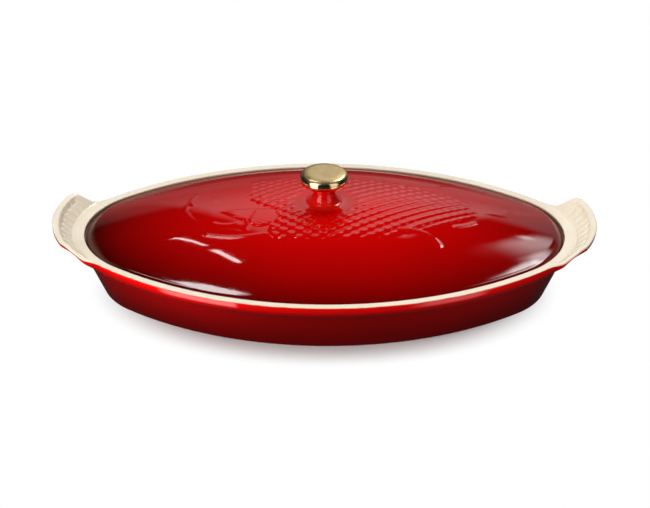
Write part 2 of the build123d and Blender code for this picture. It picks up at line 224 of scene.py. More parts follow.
def to_circle(angle, centre, radius, side):
    """Distance from the tip centre to a circle along a ray: d cos a plus or minus
    the root of (r^2 - d^2 sin^2 a), where a is the angle between ray and circle centre."""
    distance = math.hypot(*centre)
    a = angle - math.atan2(centre[1], centre[0])
    root = np.sqrt(np.maximum(radius**2 - (distance * np.sin(a)) ** 2, 0.0))
    return distance * np.cos(a) + side * root


def handle_radius(angle):
    """Outer edge of dish and handle: end arc, corner arc, hollow blend, then the plain rim."""
    end = to_circle(angle, END_CENTRE, END_RADIUS, 1)
    corner = to_circle(angle, CORNER_CENTRE, CORNER_RADIUS, 1)
    blend = to_circle(angle, BLEND_CENTRE, BLEND_RADIUS, -1)
    return np.select([angle < END_TO_CORNER, angle < CORNER_TO_BLEND, angle < BLEND_TO_RIM],
                     [end, corner, blend], RIM_RADIUS)


handle_turns = np.radians(np.linspace(-HANDLE_SPREAD, HANDLE_SPREAD, HANDLE_COLUMNS))
side_turns = np.radians(np.linspace(HANDLE_SPREAD, 180 - HANDLE_SPREAD, SIDE_COLUMNS)[1:-1])
dish_turns = np.concatenate([handle_turns, side_turns, handle_turns + math.pi,
                             side_turns + math.pi])
signed = np.arctan2(np.sin(dish_turns), np.abs(np.cos(dish_turns)))
from_tip = np.abs(signed)
outer = handle_radius(from_tip)
print(f"{len(dish_turns)} columns, handle reach {outer.max() - RIM_RADIUS:.1f} mm past the rim")

# %% [markdown]
# ## The handles
#
# Each handle is a tab that comes out of the mould with the rim. Its top sweeps up to a smooth
# lip, and the finger rest sunk into it has nine scooped flutes, so that a wet hand doesn't
# slip. The top's height is a function of the distance and angle from the tip arc's centre.

# %% Top of the handles
LIP_RISE, LIP_SLOPE, LIP_CREST = 11.5, math.radians(45), TIP_RADIUS + HANDLE_REACH - 3.0
REST_INNER, REST_OUTER = RIM_RADIUS + 2.5, TIP_RADIUS + HANDLE_REACH - 5.8
REST_TOP = RIM_HEIGHT + LIP_RISE - 2.0
REST_HALF_ANGLE, REST_CORNER = math.radians(25), 3.0
FLUTES, FLUTE_PITCH = 9, math.radians(5.3)
FLUTE_RADIUS, FLUTE_DEPTH, FLUTE_RUN = 4.2, 1.9, 7.0
REST_SLOPE = math.atan2(REST_TOP - RIM_HEIGHT, REST_OUTER - REST_INNER)
FLUTE_SLOPE = REST_SLOPE - math.radians(6)


def swept_height(radius):
    """Height of the handle's top: flat rim, an arc, a straight slope, an arc, flat lip.

    Both arcs have one radius, which follows from the rise, the run and the slope."""
    run = LIP_CREST - RIM_RADIUS
    sine, cosine = math.sin(LIP_SLOPE), math.cos(LIP_SLOPE)
    bend = (run * sine - LIP_RISE * cosine) / (2 * (1 - cosine))
    reach, drop = bend * sine, bend * (1 - cosine)
    from_rim = np.clip(radius - RIM_RADIUS, 0, run)
    from_crest = run - from_rim
    low = bend - np.sqrt(bend**2 - np.minimum(from_rim, reach) ** 2)
    high = LIP_RISE - bend + np.sqrt(bend**2 - np.minimum(from_crest, reach) ** 2)
    line = drop + (from_rim - reach) * math.tan(LIP_SLOPE)
    return RIM_HEIGHT + np.select([from_rim < reach, from_crest < reach], [low, high], line)


def handle_top(radius, angle):
    """Height of rim and handle from above at a radius and angle about the tip centre.

    Inside a rounded frame the swept top drops to the sloping floor of the finger rest, and
    each flute is a round-ended scoop: the underside of a capsule, its axis height minus the
    root of (r^2 - sideways^2 - past the end^2)."""
    top = swept_height(radius)
    floor = RIM_HEIGHT + (radius - REST_INNER) * math.tan(REST_SLOPE)
    lift = FLUTE_RADIUS - FLUTE_DEPTH
    half_chord = math.sqrt(FLUTE_RADIUS**2 - lift**2)
    outer_end = REST_OUTER - half_chord * math.cos(FLUTE_SLOPE)
    outer_height = REST_TOP - half_chord * math.sin(FLUTE_SLOPE) + lift
    inner_end = outer_end - FLUTE_RUN * math.cos(FLUTE_SLOPE)
    for count in range(FLUTES):
        turned = angle - FLUTE_PITCH * (count - (FLUTES - 1) / 2)
        along, sideways = radius * np.cos(turned), radius * np.sin(turned)
        nearest = np.clip(along, inner_end, outer_end)
        past = along - nearest
        axis = outer_height + (nearest - outer_end) * math.tan(FLUTE_SLOPE)
        inside = FLUTE_RADIUS**2 - sideways**2 - past**2
        scoop = np.where(inside > 0, axis - np.sqrt(np.maximum(inside, 0)), floor + 9)
        floor = soft_min(floor, scoop, 0.5)
    over_side = radius * (np.abs(angle) - REST_HALF_ANGLE) + REST_CORNER
    over_end = radius - REST_OUTER + REST_CORNER
    outside = np.hypot(np.maximum(over_side, 0), np.maximum(over_end, 0)) - REST_CORNER
    outside = outside + np.minimum(np.maximum(over_side, over_end), 0)
    frame_share = smooth_step(0.5, -1.6, outside) * smooth_step(-0.4, 0.9, radius - REST_INNER)
    return top + (soft_min(floor, top, 0.9) - top) * frame_share


print(f"lip {swept_height(LIP_CREST):.1f} mm, rest floor slopes {math.degrees(REST_SLOPE):.0f} deg")

# %% Edge of the band and the handles
BAND_FOOT, BAND_BULGE, PLAIN_EDGE_FOOT = 36.4, 6.2, 41.0
CHEEK_START, CHEEK_SLOPE = 184.0, math.tan(math.radians(43))
EDGE_DEPTH, LEAST_DEPTH = 4.5, 3.2

# The section's outermost part: how far it bulges, where its edge starts and where it ends.
handle_share = smooth_step(RIM_RADIUS + 0.4, RIM_RADIUS + 7, outer)
edge_cut = 3.0 - 0.4 * handle_share
corner = outer - TIP_RADIUS + 0.1 * (1 - handle_share)
edge_top = swept_height(outer - edge_cut)
bulge_at_lip = corner - 0.05 * (RIM_HEIGHT - BAND_FOOT)
bulge = BAND_BULGE + (bulge_at_lip - BAND_BULGE) * handle_share
outer_x = TIP_CENTRE + outer * np.cos(from_tip)
cheek_foot = soft_min(BAND_FOOT + (outer_x - CHEEK_START) * CHEEK_SLOPE,
                      RIM_HEIGHT + LIP_RISE - EDGE_DEPTH + 0 * outer, 3.0)
edge_foot = soft_max(cheek_foot, 0 * outer + PLAIN_EDGE_FOOT, 2.0)
edge_foot = np.where(from_tip < math.radians(HANDLE_SPREAD - 1),
                     np.minimum(edge_foot, edge_top - LEAST_DEPTH), PLAIN_EDGE_FOOT)
print(f"lip top {edge_top.max():.1f} mm, edge foot {edge_foot.min():.1f} to {edge_foot.max():.1f}")

# %% The section of the dish, from the underside to the cavity floor
RECESS_EDGE, RECESS_HEIGHT = -24.6, 1.2
FOOT_INNER, FOOT_OUTER = -24.0, -15.1
WALL_TOP, WALL_TOP_HEIGHT = 0.05, 34.8
SEAT_WIDTH, SEAT_HEIGHT = 5.3, 41.2
FLOOR_EDGE, CAVITY_FLOOR = -36.0, 7.5
FIXED_RADIUS = 97.0
UNDER_SHARES = (0.12, 0.35, 0.6, 0.8, 0.93, 0.985)
FLOOR_SHARES = (0.96, 0.88, 0.75, 0.58, 0.38, 0.2, 0.08)

outside_o, outside_z = rounded_path(
    [(RECESS_EDGE + 0 * outer, RECESS_HEIGHT, 0), (FOOT_INNER, 0.0, 0.2), (FOOT_OUTER, 0.0, 2.3),
     (WALL_TOP, WALL_TOP_HEIGHT, 1.5), (3.1, BAND_FOOT, 1.6),
     (bulge, edge_foot, 2.0 - 0.5 * handle_share),
     (corner, edge_top, edge_cut), (corner - edge_cut - 0.01, edge_top, 0)],
    [(1, 1), (3, 6), (12, 5), (2, 7), (9, 5), (4, 9), (0, 0)])
edge_row = len(UNDER_SHARES) + len(outside_o) - 1

# On top, inner rows keep their distance from the outline and outer ones follow the edge.
inner_radius = TIP_RADIUS + 1.2
edge_radius = corner + TIP_RADIUS - edge_cut
shrink = np.minimum(1.0, (edge_radius - 0.6 - inner_radius) / (FIXED_RADIUS - inner_radius))
shoulder = inner_radius + (FIXED_RADIUS - inner_radius) * shrink
outer_part = np.linspace(1, 0, 9)[1:-1, None]
inner_part = np.linspace(1, 0, 47)[:, None]
top_radius = np.vstack([shoulder + (edge_radius - shoulder) * outer_part,
                        inner_radius + (shoulder - inner_radius) * inner_part])
top_z = handle_top(top_radius, signed[None, :])
top_o = top_radius - TIP_RADIUS

inside_o, inside_z = rounded_path(
    [(1.2 + 0 * outer, RIM_HEIGHT, 0), (0.0, RIM_HEIGHT - 0.1, 1.0), (0.0, SEAT_HEIGHT, 0.9),
     (-SEAT_WIDTH, SEAT_HEIGHT, 1.0), (-20.03, CAVITY_FLOOR, 8.5), (FLOOR_EDGE, CAVITY_FLOOR, 0)],
    [(1, 5), (3, 4), (3, 4), (9, 9), (3, 0)])
print(f"rows: {len(outside_o)} outside, {len(top_o)} on top, {len(inside_o)} inside")

# %% The dish as one closed grid
under_rows, floor_rows = (len(UNDER_SHARES), len(outer)), (len(FLOOR_SHARES), len(outer))
offsets = np.vstack([np.full(under_rows, RECESS_EDGE), outside_o, top_o, inside_o[1:],
                     np.full(floor_rows, FLOOR_EDGE)])
heights = np.vstack([np.full(under_rows, RECESS_HEIGHT), outside_z, top_z, inside_z[1:],
                     np.full(floor_rows, CAVITY_FLOOR)])
# Under the dish and on the cavity floor, rows are the outline shrunk to a share.
shares = np.ones(len(offsets))
shares[:len(UNDER_SHARES)], shares[-len(FLOOR_SHARES):] = UNDER_SHARES, FLOOR_SHARES
dish_x, dish_y = plan(dish_turns[None, :], offsets)
dish_x, dish_y = dish_x * shares[:, None], dish_y * shares[:, None]
dish = closed_grid("dish_glazed", dish_x, dish_y, heights, caps=True)
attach(dish, "dish")
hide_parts("baking_dish")
print(f"dish: {len(dish.data.polygons)} faces")

# %% Numbers for the glaze of the dish
# Distance along the section from the line where cream glaze meets red, cream side positive.
steps_along = np.hypot(np.diff(offsets, axis=0), np.diff(heights, axis=0))
travelled = np.vstack([np.zeros(len(outer)), np.cumsum(steps_along, axis=0)])
line_at = travelled[edge_row] - 1.1 - 1.5 * handle_share
paint(dish, "cream_side", np.clip(travelled - line_at, -9, 9))
paint(dish, "bare_foot", smooth_step(0.5, 0.1, heights) * (offsets < -15.5))
# The height carries painted light and shade: the band lighter towards its top, the wall darker
# towards the foot.
paint(dish, "height", heights)
# Painted shade: the gallery wall under the rim is darkened brown, where the gap beside the lid lies
# in shadow.
seat_shade = smooth_step(46.2, 45.0, heights) * smooth_step(-6.0, -4.6, offsets)
paint(dish, "seat_shade", seat_shade * (offsets < 1.0) * (heights > 40.0))
print(f"section: {travelled[-1].min():.0f} to {travelled[-1].max():.0f} mm long")

# %% [markdown]
# ## The lid
#
# The lid is a shell about 6 mm thick. Its dome is the outline shrunk step by step towards the
# middle while it rises, the height falling with the square of the way out. A rounded shoulder,
# deeper at the tips, turns it down into the gallery. A rib under the edge keeps the lid from
# sliding, and a neck in the middle carries the knob.
#
# A fish lies on the dome in low relief: a plain head, rows of overlapping scales, and fins
# drawn with a few soft lines. It is a height map worked out from formulas: real form that
# catches the light, softened as thick glaze softens it.

# %% Relief: scales, ridges and fins
GILL_X, BODY_MIDDLE, BODY_HALF_LENGTH = -62.0, -5.0, 132.0
SCALE_PITCH_X, SCALE_PITCH_Y = 6.3, 9.4


def body_half_width(x):
    """Half the fish's width along its length: a long lens that narrows to the tail root."""
    share = np.clip((x - BODY_MIDDLE) / BODY_HALF_LENGTH, -1, 1)
    return 55.0 * (1 - share**2) ** 0.75


def scales(x, y):
    """Rows of overlapping scales: two sets of soft waves that cross on a diamond lattice.

    One set is the stronger, so the scales line up in slanting rows, as they do on a fish."""
    along = math.pi * x / SCALE_PITCH_X
    across = 2 * math.pi * y / SCALE_PITCH_Y
    rising = np.cos(along - across - 0.4 * np.sin(along - across))
    falling = np.cos(along + across)
    return 0.5 + 0.3 * rising + 0.2 * falling


def ridge(x, y, points, half_width):
    """A soft raised line through plan points: it falls off with the distance from the line."""
    nearest = np.full_like(x, 1e9)
    for (ax, ay), (bx, by) in zip(points[:-1], points[1:]):
        run = (bx - ax) ** 2 + (by - ay) ** 2
        t = np.clip(((x - ax) * (bx - ax) + (y - ay) * (by - ay)) / run, 0, 1)
        nearest = np.minimum(nearest, np.hypot(x - ax - t * (bx - ax), y - ay - t * (by - ay)))
    return smooth_step(half_width, 0.0, nearest)


def bow(start, middle, end, count=14):
    """Points of a curved line with three given points: a parabola through its middle."""
    t = np.linspace(0, 1, count)
    pull = [2 * m - 0.5 * (a + b) for a, m, b in zip(start, middle, end)]
    return [tuple(parabola(a, p, b, s) for a, p, b in zip(start, pull, end)) for s in t]


def fan(x, y, root, towards, spread, near, far, rays):
    """A fin: a raised fan with soft ends and sides, plain at its root.

    Its rays are a cosine of the turn about the root, away from the fan's direction."""
    away_x, away_y = x - root[0], y - root[1]
    distance = np.hypot(away_x, away_y)
    turn = np.arctan2(away_y, away_x) - math.radians(towards)
    turn = (turn + math.pi) % (2 * math.pi) - math.pi
    share = turn / math.radians(spread)
    reach = far * (1 - 0.16 * share**2)
    mask = (smooth_step(1.1, 0.8, np.abs(share)) * smooth_step(near - 4, near + 14, distance)
            * smooth_step(reach + 2.0, reach - 4.0, distance))
    groove = 0.5 + 0.5 * np.cos(share * rays * math.pi)
    return mask * (0.75 + 0.25 * groove * smooth_step(near, near + 12, distance))


print(f"fish: {2 * BODY_HALF_LENGTH:.0f} mm long, {2 * body_half_width(BODY_MIDDLE):.0f} mm wide")

# %% The whole fish as one height map
PECTORAL_FIN = {"root": (-86, -8), "towards": -22, "spread": 17, "near": 5, "far": 52, "rays": 7}
TAIL_FIN = {"root": (104, 4), "towards": 22, "spread": 20, "near": 20, "far": 50, "rays": 5}
EYE_X, EYE_Y = -88, 12
CLEAR_OF_NECK = 22.0
# Start, middle and end of each drawn line, then half its width and its height.
DRAWN_LINES = [
    ((-58, 40), (-50, 4), (-62, -38), 2.0, 0.25),  # gill cover
    ((-112, -2), (-98, 28), (-66, 42), 2.4, 0.12),  # forehead
    ((-110, -6), (-96, -26), (-66, -40), 2.4, 0.12),  # jaw
    ((-103, 27), (-107, 18), (-106, 8), 1.7, 0.7),  # nose
    ((-92, -40), (-70, -46), (-46, -45), 1.6, 0.9),  # throat
    ((60, -37), (80, -38), (92, -51), 1.8, 1.3),  # belly fin
    ((105, -24), (113, -20), (121, -14), 1.4, 0.6),  # tail root
    ((58, 38), (84, 42), (98, 55), 1.5, 0.8),  # hind back fin
    ((-40, 50), (0, 60), (46, 52), 1.5, 0.6),  # back fin
    ((-88, -26), (-78, -30), (-68, -29), 2.0, 0.25),  # mouth
]


def relief(x, y):
    """Height of the fish above the plain dome, in millimetres.

    Scales fill the body from the gill to the tail and leave the pectoral fin clear. Fins,
    lines and the eye are added, and all of it fades out before the neck."""
    wide = body_half_width(x)
    middle = 5.0 * smooth_step(30, 110, x)
    on_body = smooth_step(2.0, -5.0, np.abs(y - middle) - wide)
    gill = GILL_X + 20.0 * smooth_step(12, -20, y)
    scaled = smooth_step(gill - 2.0, gill + 5.0, x) * smooth_step(126, 108, x)
    pectoral = fan(x, y, **PECTORAL_FIN)
    clear = smooth_step(0.25, 0.0, pectoral)
    height = (0.8 - 0.3 * smooth_step(40, 115, x)) * scales(x, y) * on_body * scaled * clear
    height += 0.5 * pectoral
    height += 0.2 * fan(x, y, **TAIL_FIN)
    for start, through, end, half_width, tall in DRAWN_LINES:
        height += 0.75 * tall * ridge(x, y, bow(start, through, end), 1.3 * half_width)
    height += 0.15 * smooth_step(6.5, 2.0, np.hypot(x - EYE_X, y - EYE_Y))
    return height * smooth_step(CLEAR_OF_NECK, CLEAR_OF_NECK + 7.0, np.hypot(x, y))


sample_x, sample_y = np.meshgrid(np.linspace(-120, 160, 281), np.linspace(-60, 60, 121))
print(f"tallest relief: {relief(sample_x, sample_y).max():.2f} mm")

# %% [markdown]
# ## The lid's surface
#
# The grid starts at the top of the bore and runs down the neck, out over the dome and its
# shoulder, round under the edge, and up the vault inside to the flat pad for the washers. It
# ends in the bore where it started, so the lid is one closed skin with a hole through it.

# %% Sizes and columns of the lid
DOME_BASE, DOME_RISE = 46.7, 29.3
LID_GAP, LID_ROLL = 1.2, 5.5
DOME_OFFSET = -LID_GAP - LID_ROLL * (1 - math.sin(math.radians(28)))
EDGE_HEIGHT, UNDER_EDGE = 42.0, 41.5
RIB_OUTER, RIB_INNER, RIB_FOOT = -7.9, -12.5, 37.9
BOSS_TOP, BOSS_ROOT, NECK, FLARE = 91.5, 75.0, 8.5, 10.0
VAULT_BASE, VAULT_RISE = 43.5, 26.5
PAD_HEIGHT, PAD_RADIUS, BORE = 68.5, 12.0, 3.6
LID_TIP_COLUMNS, LID_SIDE_COLUMNS = 80, 160

turn_joint = math.asin(JOINT_SINE)
tip_turns = np.linspace(-turn_joint, turn_joint, LID_TIP_COLUMNS + 1)[:-1]
long_turns = np.linspace(turn_joint, math.pi - turn_joint, LID_SIDE_COLUMNS + 1)[:-1]
lid_turns = np.concatenate([tip_turns, long_turns, tip_turns + math.pi, long_turns + math.pi])
base_x, base_y = plan(lid_turns, DOME_OFFSET)
base_distance = np.hypot(base_x, base_y)
ray_x, ray_y = base_x / base_distance, base_y / base_distance
print(f"{len(lid_turns)} columns, dome {2 * base_x.max():.1f} x {2 * base_y.max():.1f} mm")


# %% Neck, flare and dome
def dome(share):
    """The dome's height where the outline is shrunk to a share of its size."""
    return DOME_BASE + DOME_RISE * (1 - share**2)


def neck_and_flare(radius):
    """The neck's root: a quarter circle that swings from the upright neck into the dome."""
    inside = np.maximum(FLARE**2 - (NECK + FLARE - radius) ** 2, 0)
    return BOSS_ROOT + FLARE - np.sqrt(inside)


neck_rows = [(BORE, BOSS_TOP - 0.3), (BORE + 0.4, BOSS_TOP), (6.0, BOSS_TOP), (7.4, BOSS_TOP),
             (8.1, BOSS_TOP - 0.25), (8.42, BOSS_TOP - 0.7), (NECK, BOSS_TOP - 1.4),
             (NECK, 88.6), (NECK, 87.0), (NECK, 85.6)]
flare_radii = NECK + FLARE * (1 - np.cos(np.radians([8, 18, 28, 38, 47, 55, 62])))
ring_r, ring_z = np.array(neck_rows + list(zip(flare_radii, neck_and_flare(flare_radii)))).T

# The shoulder begins a little inside the outline, and deeper at the tips.
shoulder_depth = 0.4 + 5.0 * smooth_step(0.72, 0.97, np.abs(np.cos(lid_turns)))
dome_end = base_distance - shoulder_depth
way = np.linspace(0, 1, 127)[1:]
dome_r = ring_r[-1] + (dome_end[None, :] - ring_r[-1]) * way[:, None]
dome_share = dome_r / base_distance[None, :]
flare_z = np.where(dome_r < NECK + FLARE, neck_and_flare(np.minimum(dome_r, NECK + FLARE)),
                   BOSS_ROOT - 0.5 * (dome_r - NECK - FLARE))
dome_x, dome_y = dome_r * ray_x, dome_r * ray_y
# The relief is softened along each row, as the glaze softens it.
carved = relief(dome_x, dome_y)
carved = 0.5 * carved + 0.25 * (np.roll(carved, 1, axis=1) + np.roll(carved, -1, axis=1))
dome_z = soft_max(dome(dome_share), flare_z, 0.9) + carved * smooth_step(0.99, 0.9, dome_share)
print(f"dome from {dome_z.min():.1f} to {dome_z.max():.1f} mm")

# %% Shoulder, edge, rib and vault
# The shoulder is a parabola from the dome's end past the corner point, down to the edge.
rim_x, rim_y = plan(lid_turns, -LID_GAP)
end_share = dome_end / base_distance
corner_share = np.hypot(rim_x, rim_y) / base_distance
corner_z = dome(end_share) - 2 * DOME_RISE * end_share * (corner_share - end_share)
t = np.linspace(0, 1, 15)[1:, None]
roll_x = parabola(dome_x[-1], rim_x, rim_x, t)
roll_y = parabola(dome_y[-1], rim_y, rim_y, t)
roll_z = parabola(dome_z[-1], corner_z, EDGE_HEIGHT, t)
under_o, under_z = rounded_path(
    [(-LID_GAP + 0 * base_x, EDGE_HEIGHT, 0), (-LID_GAP, UNDER_EDGE, 0.3),
     (RIB_OUTER, UNDER_EDGE, 0.7), (RIB_OUTER, RIB_FOOT, 1.5), (RIB_INNER, RIB_FOOT, 1.5),
     (RIB_INNER, 43.6, 2.4), (-17.5, 45.9, 0)],
    [(1, 3), (2, 3), (1, 3), (1, 3), (2, 4), (1, 0)])
edge_x, edge_y = plan(lid_turns[None, :], under_o[1:])

# The vault under the dome rises with the square of the way in, and stops at the round pad.
vault_x, vault_y = plan(lid_turns, RIB_INNER)
vault_distance = np.hypot(vault_x, vault_y)
vault_way = np.linspace(1, 0, 20)[1:-1]
vault_r = PAD_RADIUS + 1.4 + (vault_distance * 0.955 - PAD_RADIUS - 1.4) * vault_way[:, None]
vault_z = VAULT_BASE + VAULT_RISE * (1 - (vault_r / vault_distance) ** 2)
pad_r = np.array([PAD_RADIUS + 0.5, PAD_RADIUS + 0.1, PAD_RADIUS - 0.3, 8.0, BORE + 0.3, BORE,
                  BORE, BORE])
pad_z = np.array([VAULT_BASE + VAULT_RISE - 0.35, PAD_HEIGHT + 0.35, PAD_HEIGHT, PAD_HEIGHT,
                  PAD_HEIGHT, PAD_HEIGHT + 0.3, 76.0, 84.0])
print(f"vault from {vault_z.min():.1f} to {vault_z.max():.1f} mm")

# %% The lid as one closed grid
lid_x = np.vstack([ring_r[:, None] * ray_x, dome_x, roll_x, edge_x, vault_r * ray_x,
                   pad_r[:, None] * ray_x])
lid_y = np.vstack([ring_r[:, None] * ray_y, dome_y, roll_y, edge_y, vault_r * ray_y,
                   pad_r[:, None] * ray_y])
lid_z = np.vstack([ring_z[:, None] + 0 * base_x, dome_z, roll_z, under_z[1:], vault_z,
                   pad_z[:, None] + 0 * base_x])
lid = closed_grid("lid_glazed", lid_x[::-1], lid_y[::-1], lid_z[::-1], caps=False)
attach(lid, "lid")
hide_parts("lid")
print(f"lid: {len(lid.data.polygons)} faces, top {lid_z.max():.1f} mm")

# %% Numbers for the glaze of the lid
dome_start, roll_start = len(ring_r), len(ring_r) + len(dome_z)
outside_end = roll_start + len(roll_z)
dome_rows, roll_rows = slice(dome_start, roll_start), slice(roll_start, outside_end)
share_out = np.hypot(lid_x, lid_y) / base_distance

# Red outside, cream inside, with the line between them just under the edge.
lid_cream = np.full_like(lid_z, -3.0)
near_edge = slice(outside_end - 2, outside_end + 4)
lid_cream[near_edge] = np.clip(2.2 * (41.7 - lid_z[near_edge]), -3, 3)
lid_cream[outside_end + 4:] = 3.0
paint(lid, "cream_side", lid_cream[::-1])

# Painted brown, and a duller glaze: on the shoulder at both ends the brown is a painted
# reflection of the cream rim, and on the lid's far side painted shade by the gap.
dull_shaded_edge = np.zeros_like(lid_z)
down_roll = smooth_step(0, 0.5, np.linspace(0, 1, len(roll_z) + 1))[:, None]
at_tips = 0.65 * smooth_step(-150, -176, base_x) + 0.25 * smooth_step(160, 180, base_x)
dull_shaded_edge[roll_start - 1: outside_end] = down_roll * at_tips
far_side = 0.6 * smooth_step(15, 70, base_y)
dull_shaded_edge[dome_rows] += far_side * smooth_step(0.77, 0.97, dome_share)
dull_shaded_edge[roll_rows] += far_side
paint(lid, "dull_shaded_edge", np.clip(dull_shaded_edge, 0, 0.8)[::-1])

# What stands proud: the fish, where the glaze runs thin and lighter. The flare at the neck's
# foot is lightened too, as painted light.
raised = np.zeros_like(lid_z)
raised[dome_rows] = carved + 2.0 * smooth_step(21, 16, dome_r)
raised[:dome_start] = 2.0 * smooth_step(NECK, NECK + 2, ring_r)[:, None]
paint(lid, "raised", raised[::-1])

# How far the red has deepened: with the square of the way out. Painted light keeps the far
# half lighter, and painted shade darkens the tips, the left one most.
along_lid = lid_x / 192.0
to_back = 1 - 0.6 * smooth_step(0, 50, lid_y)
tone = 0.8 * to_back * np.minimum(share_out, 1) ** 2 + 0.12 * along_lid**2 - 0.1 * along_lid
paint(lid, "tone", np.clip(tone, 0, 1)[::-1])
painted = [a.name for a in lid.data.attributes if a.data_type == "FLOAT"]
print("painted on the lid:", ", ".join(painted))

# %% [markdown]
# ## The knob
#
# The real knob is spun or pressed from sheet metal, closed over a threaded bush and plated.
# Its flat top is brushed in circles, its shoulder is rounded, and its lower side hangs down a
# little round the neck. A lathe form repeats the spinning: one outline turned about an axis.

# %% Knob shell as a turned form
KNOB_BASE, WIDEST_HEIGHT, KNOB_TOP = 92.5, 95.6, 101.8
KNOB_RADIUS, FLAT_RADIUS = 19.58, 12.4
FLAT_HEIGHT, CROWN = KNOB_TOP - 0.1, 0.08


def lathe(name, outline, around=128):
    """A closed turned form from (radius, height) points that start and end on the axis."""
    turn = np.linspace(0, 2 * math.pi, around + 1)[:-1]
    radius, height = np.array(outline).T
    return closed_grid(name, radius[:, None] * np.cos(turn), radius[:, None] * np.sin(turn),
                       height[:, None] + 0 * turn, caps=True)


def curve_points(start, pull, end, count):
    """Points of a parabola from start to end that leaves towards pull."""
    t = np.linspace(0, 1, count)[:, None]
    return parabola(*map(np.array, (start, pull, end)), t).tolist()


hollow = [[0.6, KNOB_BASE + 2.2], [7.4, KNOB_BASE + 2.2], [7.8, KNOB_BASE + 1.8],
          [8.0, KNOB_BASE + 0.4], [8.4, KNOB_BASE], [9.7, KNOB_BASE], [10.0, KNOB_BASE - 0.3],
          [10.3, KNOB_BASE - 1.9], [10.9, KNOB_BASE - 2.3]]
widest, turn_in = (KNOB_RADIUS, WIDEST_HEIGHT), (15.0, KNOB_TOP - 0.45)
lower_side = curve_points((12.0, KNOB_BASE - 2.35), (18.9, KNOB_BASE - 2.2), widest, 16)
upper_side = curve_points(widest, (19.4, KNOB_TOP - 1.2), turn_in, 20)[1:]
brow = curve_points(turn_in, (13.6, KNOB_TOP - 0.12), (FLAT_RADIUS, FLAT_HEIGHT), 6)[1:]
crown = [[r, FLAT_HEIGHT + CROWN * (1 - (r / FLAT_RADIUS) ** 2)] for r in (11, 9, 7, 5, 2.5, 0.8)]
knob = lathe("knob_cap", hollow + lower_side + upper_side + brow + crown)
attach(knob, "lid")
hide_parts("knob_shell")
print(f"knob: {len(knob.data.polygons)} faces")

# %% [markdown]
# ## Materials
#
# The glaze is a thin layer of coloured glass, nearly a mirror, with a very slight waviness.
# The red one runs thin and lighter over the raised fish. Painted shade darkens it down the
# wall to the foot and at the lid's tips, and painted light brightens the band's top, the
# neck's flare and the lid's far half. At the lid's ends and far side a painted brown stands
# for the mirrored cream rim and for shade by the gap, and there the glaze is dull. The inside,
# the rim and the tops of the handles carry a cream glaze with faint specks, with painted shade
# on the gallery wall. Each material mixes its colour from noise and from numbers stored on
# the grid, so the colours follow the form.
#
# A material is a tree of nodes. The helpers add nodes to the tree being built and give back a
# Value, so a tree is written as plain arithmetic.

# %% Node helpers: trees, values and sums
class Value:
    """An output of a node. A sign between two values adds one arithmetic node."""

    def __init__(self, socket):
        self.socket = socket

    def __add__(self, other):
        return maths("ADD", self, other)

    def __sub__(self, other):
        return maths("SUBTRACT", self, other)

    def __mul__(self, other):
        return maths("MULTIPLY", self, other)

    def __truediv__(self, other):
        return maths("DIVIDE", self, other)


def new_tree(name):
    """A new material and its output node, in an empty tree that the helpers then fill."""
    global tree
    material = bpy.data.materials.new(name)
    material.use_nodes = True
    tree = material.node_tree
    tree.nodes.clear()
    return material, tree.nodes.new("ShaderNodeOutputMaterial")


def feed(socket, value):
    """Sets a socket from a number or a colour, or links it to a value."""
    if isinstance(value, Value):
        tree.links.new(value.socket, socket)
    elif isinstance(value, tuple) and socket.type == "RGBA":
        socket.default_value = (*value, 1.0)
    else:
        socket.default_value = value


def node(kind, inputs, output=0, **settings):
    """One node with its settings and inputs. Gives back one of its outputs as a value."""
    made = tree.nodes.new("ShaderNode" + kind)
    for name, setting in settings.items():
        setattr(made, name, setting)
    for name, value in inputs.items():
        feed(made.inputs[name], value)
    return Value(made.outputs[output])


def maths(operation, a, b=0.0):
    """One arithmetic node."""
    return node("Math", {0: a, 1: b}, operation=operation)


def fade(value, low, high, to_low=0.0, to_high=1.0):
    """A smooth change from to_low to to_high while a value goes from low to high."""
    return node("MapRange", {0: value, 1: low, 2: high, 3: to_low, 4: to_high},
                interpolation_type="SMOOTHSTEP")


def blend(share, first, second):
    """A mix of two colours: first times (1 - share) plus second times share."""
    return node("Mix", {"Factor": share, 6: first, 7: second}, 2, data_type="RGBA")


def shade(red, green, blue):
    """A colour given as it looks on a screen, 0 to 255, turned into linear light."""
    return tuple(((c / 255 + 0.055) / 1.055) ** 2.4 if c > 10 else c / 255 / 12.92
                 for c in (red, green, blue))


print("middle grey as light:", round(shade(128, 128, 128)[0], 3))


# %% Node helpers: places, noise and surfaces
def coordinates(kind="Object"):
    """Across, back and up: a point in metres, or with Generated a direction of the world."""
    place = node("TexCoord", {}, kind)
    return [node("SeparateXYZ", {0: place}, axis) for axis in range(3)]


def noise(scale, detail):
    """Smooth noise in the piece's own coordinates, scale in features per metre."""
    place = node("TexCoord", {}, "Object")
    return node("TexNoise", {"Vector": place, "Scale": scale, "Detail": detail}, "Fac")


def stored(name):
    """A number that was painted on the piece's points. Where none was painted, it is 0."""
    return node("Attribute", {}, "Fac", attribute_name=name)


def bump(height, depth, strength):
    """A small surface relief from a height value, depth in metres."""
    return node("Bump", {"Strength": strength, "Distance": depth, "Height": height}, "Normal")


def surface(output, **values):
    """A Principled shader with the given inputs, linked to the output."""
    inputs = {name.replace("_", " "): value for name, value in values.items()}
    feed(output.inputs["Surface"], node("BsdfPrincipled", inputs))


def camera_sees(output, direct, elsewhere):
    """Shows one shader to the camera, and another to reflections and as light."""
    is_camera = node("LightPath", {}, "Is Camera Ray")
    feed(output.inputs["Surface"], node("MixShader", {0: is_camera, 1: elsewhere, 2: direct}))


print("helpers for places, noise and surfaces")

# %% Glazes
RED_BRIGHT, RED_DEEP, RED_THIN = shade(200, 1, 1), shade(46, 0, 0), shade(228, 40, 26)
